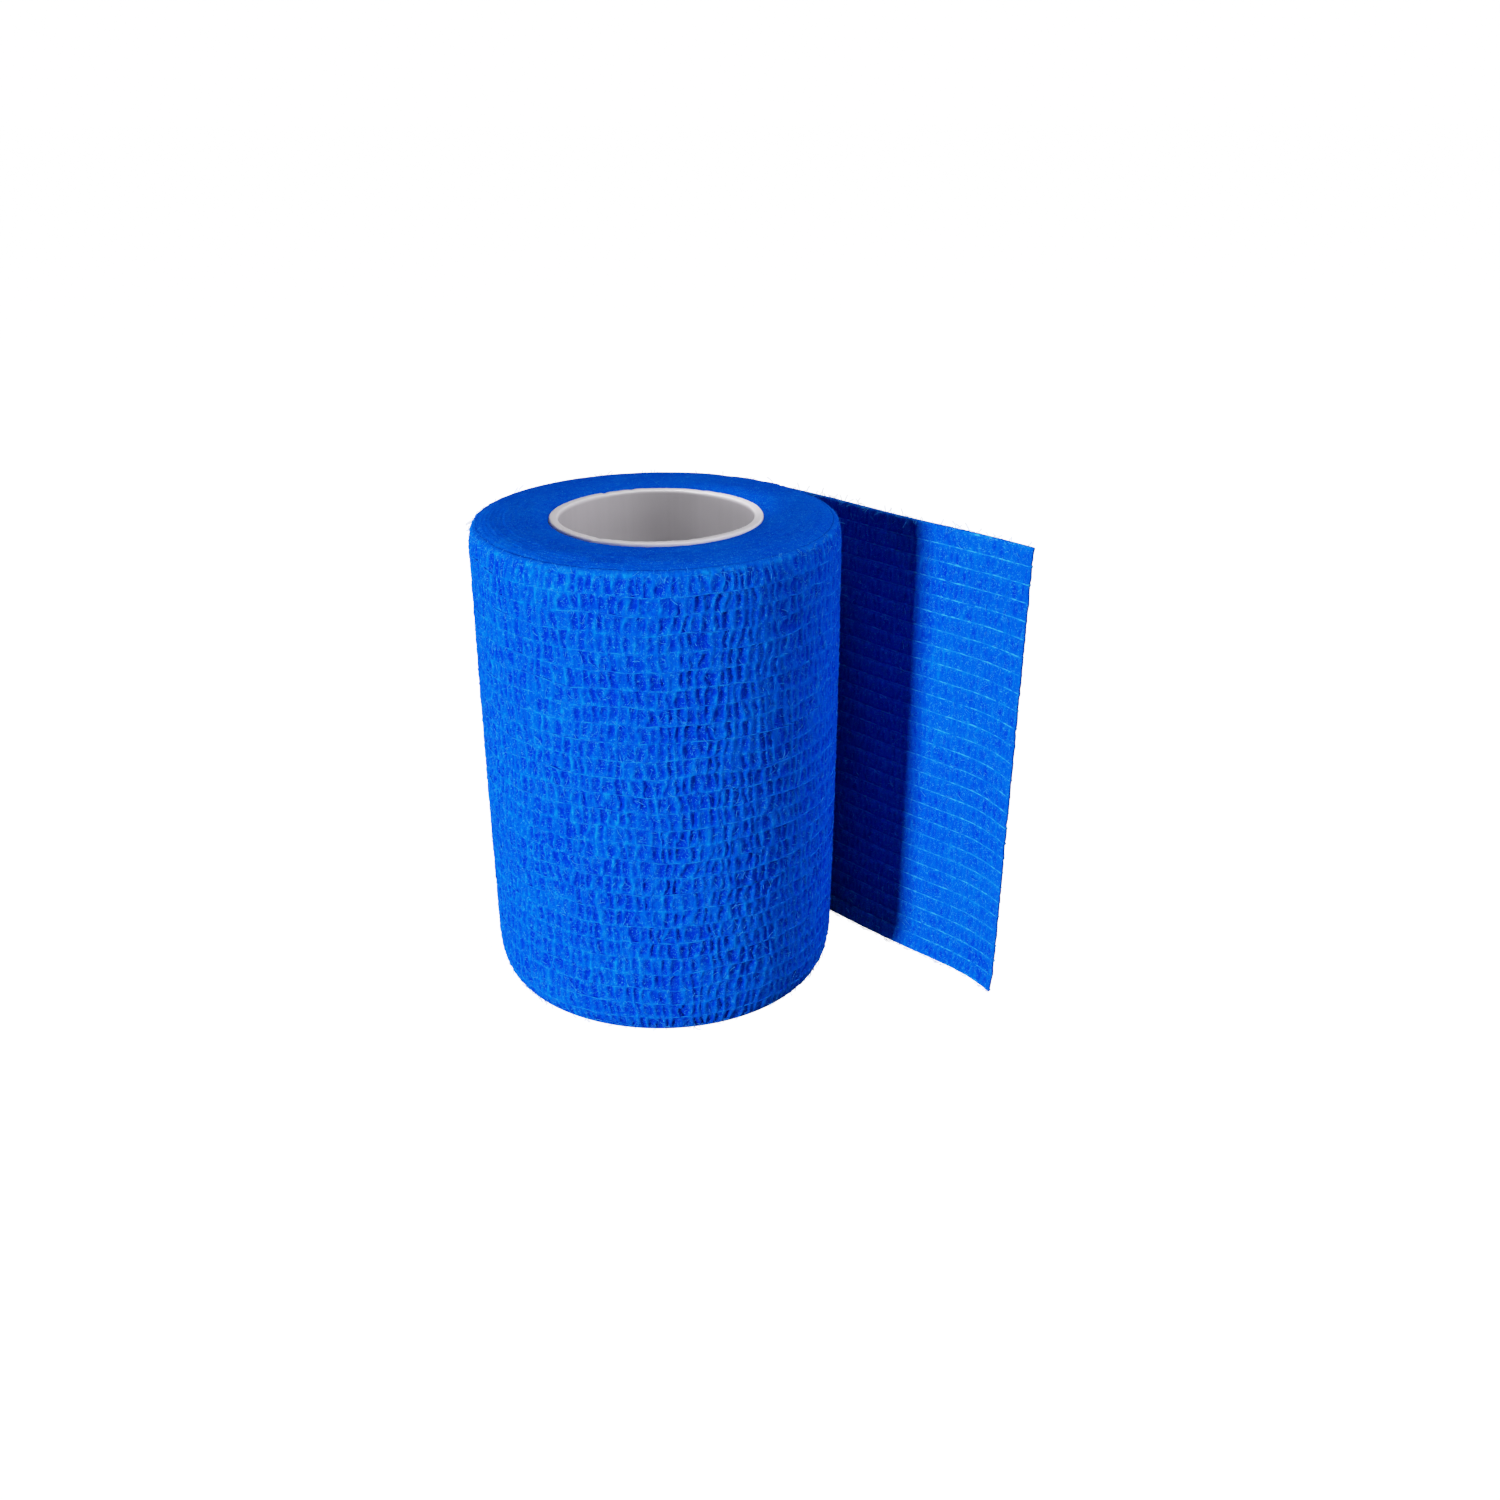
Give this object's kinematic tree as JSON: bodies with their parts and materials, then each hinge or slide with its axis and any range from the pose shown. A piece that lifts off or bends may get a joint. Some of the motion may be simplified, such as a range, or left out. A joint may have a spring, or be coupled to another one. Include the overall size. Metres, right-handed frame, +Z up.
{
  "type": "cohesive bandage roll",
  "caption": "Crepe cohesive bandage wound on a white tube, standing on one end with its loose end peeled straight off the roll.",
  "frame": {"origin": "on the surface that the roll stands on, under the middle of the whole part's bounding box; the roll's own axis is at x = -12.8 mm, y = -0.2 mm", "axes": "+Z up along the roll's axis; +X towards the side where the loose end lies, the part's longest extent; +Y from the front of the roll to its back, the shortest extent"},
  "size_m": [0.0816, 0.0562, 0.075],
  "materials": {
    "crepe": "matt crepe non-woven, pale elastic threads",
    "tube": "satin white plastic"
  },
  "bodies": {
    "root": {"bandage": "crepe", "core": "tube"}
  },
  "joints": []
}
